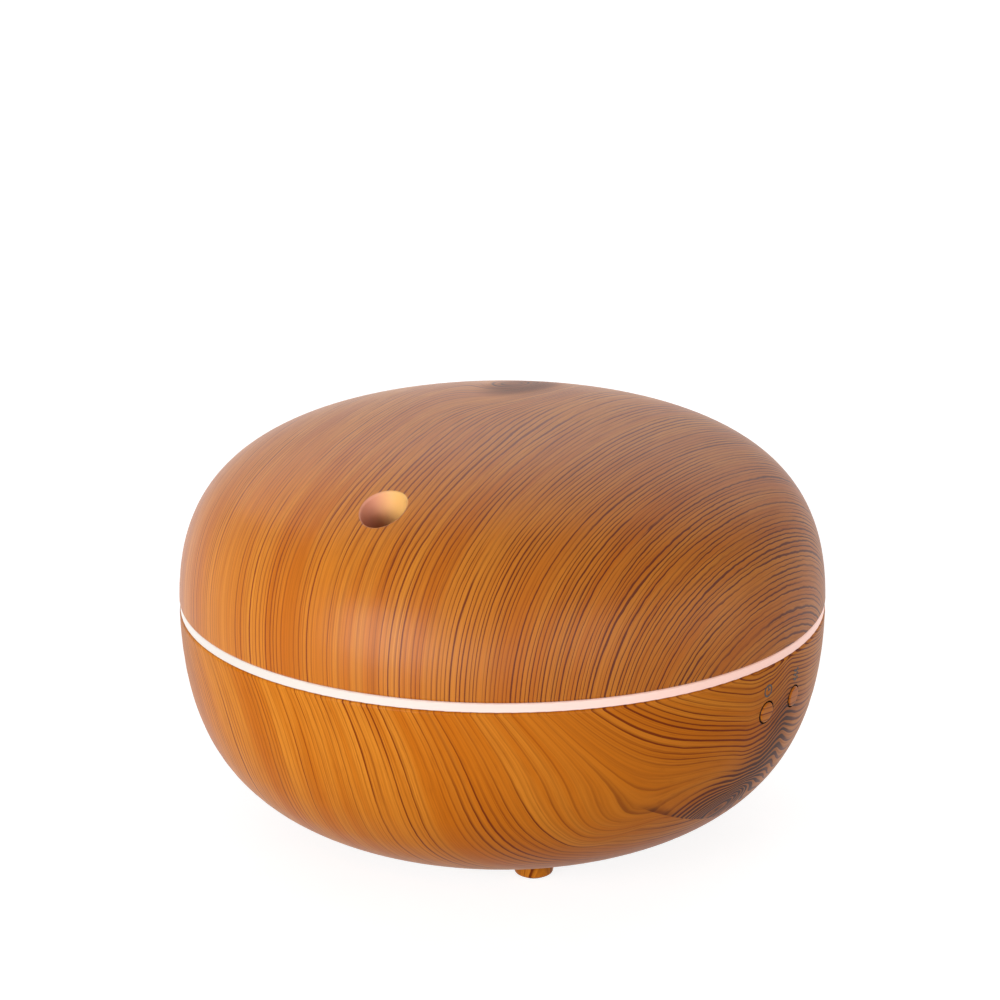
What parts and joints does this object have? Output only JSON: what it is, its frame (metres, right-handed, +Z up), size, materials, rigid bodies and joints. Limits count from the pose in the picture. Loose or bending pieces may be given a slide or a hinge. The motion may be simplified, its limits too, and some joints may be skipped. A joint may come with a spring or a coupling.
{
  "type": "cool mist humidifier",
  "caption": "Pebble-shaped ultrasonic humidifier with wood-grain shells, a glowing seam ring, a mist outlet and a lift-off cover over the water tank.",
  "frame": {"origin": "centre of the footprint, on the surface that the foot pads stand on", "axes": "+Z up; -Y towards the front, where the mist outlet is; +X towards the two buttons; the power inlet faces +Y"},
  "size_m": [0.168, 0.168, 0.1107],
  "materials": {
    "wood_film": "satin wood-grain printed film on moulded plastic",
    "white_plastic": "moulded white polypropylene",
    "ring_diffuser": "milky light-scattering plastic",
    "pad_rubber": "soft moulded rubber",
    "steel": "zinc-plated steel",
    "silicone": "translucent silicone",
    "disc_metal": "silvered ceramic disc",
    "black_plastic": "moulded black plastic",
    "dark_magnet": "sintered ferrite",
    "bearing_bronze": "sintered bronze",
    "motor_core": "laminated steel with copper windings",
    "board_green": "solder-masked circuit board",
    "board_white": "white solder-masked circuit board",
    "sink_aluminium": "extruded aluminium",
    "can_aluminium": "sleeved aluminium can",
    "coil_copper": "enamelled copper on ferrite",
    "contact_brass": "plated brass",
    "led_lens": "diode package",
    "gasket_foam": "closed-cell foam",
    "wire_sleeve": "insulated wire"
  },
  "bodies": {
    "base": {"light_ring": "ring_diffuser", "lower_shell": "wood_film", "foot_pads": "pad_rubber", "case_screws": "steel", "water_tank": "white_plastic", "tank_posts": "white_plastic", "air_column": "white_plastic", "duct_hood": "white_plastic", "disc_housing": "white_plastic", "transducer_disc": "disc_metal", "transducer_seal": "silicone", "transducer_clamp": "steel", "transducer_screws": "steel", "fan_frame": "black_plastic", "fan_bearing": "bearing_bronze", "fan_stator": "motor_core", "fan_gasket": "gasket_foam", "fan_screws": "steel", "main_board": "board_green", "board_screws": "steel", "dc_jack": "black_plastic", "jack_pin": "contact_brass", "heat_sink": "sink_aluminium", "drive_transistor": "black_plastic", "drive_coil": "coil_copper", "capacitors": "can_aluminium", "control_chip": "black_plastic", "wire_sockets": "white_plastic", "fan_wire": "wire_sleeve", "disc_wire": "wire_sleeve", "led_wire": "wire_sleeve", "button_wire": "wire_sleeve", "led_board": "board_white", "leds": "led_lens", "switches": "black_plastic", "button_board": "board_green", "button_screws": "steel"},
    "cover": {"top_cover": "wood_film", "cover_liner": "white_plastic"},
    "fan": {"fan_rotor": "black_plastic", "fan_magnet": "dark_magnet", "fan_shaft": "steel"},
    "power_key": {"power_button": "wood_film", "power_plunger": "black_plastic"},
    "light_key": {"light_button": "wood_film", "light_plunger": "black_plastic"}
  },
  "joints": [
    {"name": "cover_lift", "type": "slide", "parent": "base", "child": "cover", "axis": [0, 0, 1], "range_m": [0, 0.08]},
    {"name": "fan_spin", "type": "hinge", "parent": "base", "child": "fan", "pos_m": [-0.028, 0, 0.0097], "axis": [0, 0, 1], "continuous": true},
    {"name": "power_press", "type": "slide", "parent": "base", "child": "power_key", "axis": [-1, 0, 0], "range_m": [0, 0.0005], "stiffness_N_per_m": 1500},
    {"name": "light_press", "type": "slide", "parent": "base", "child": "light_key", "axis": [-1, 0, 0], "range_m": [0, 0.0005], "stiffness_N_per_m": 1500}
  ]
}
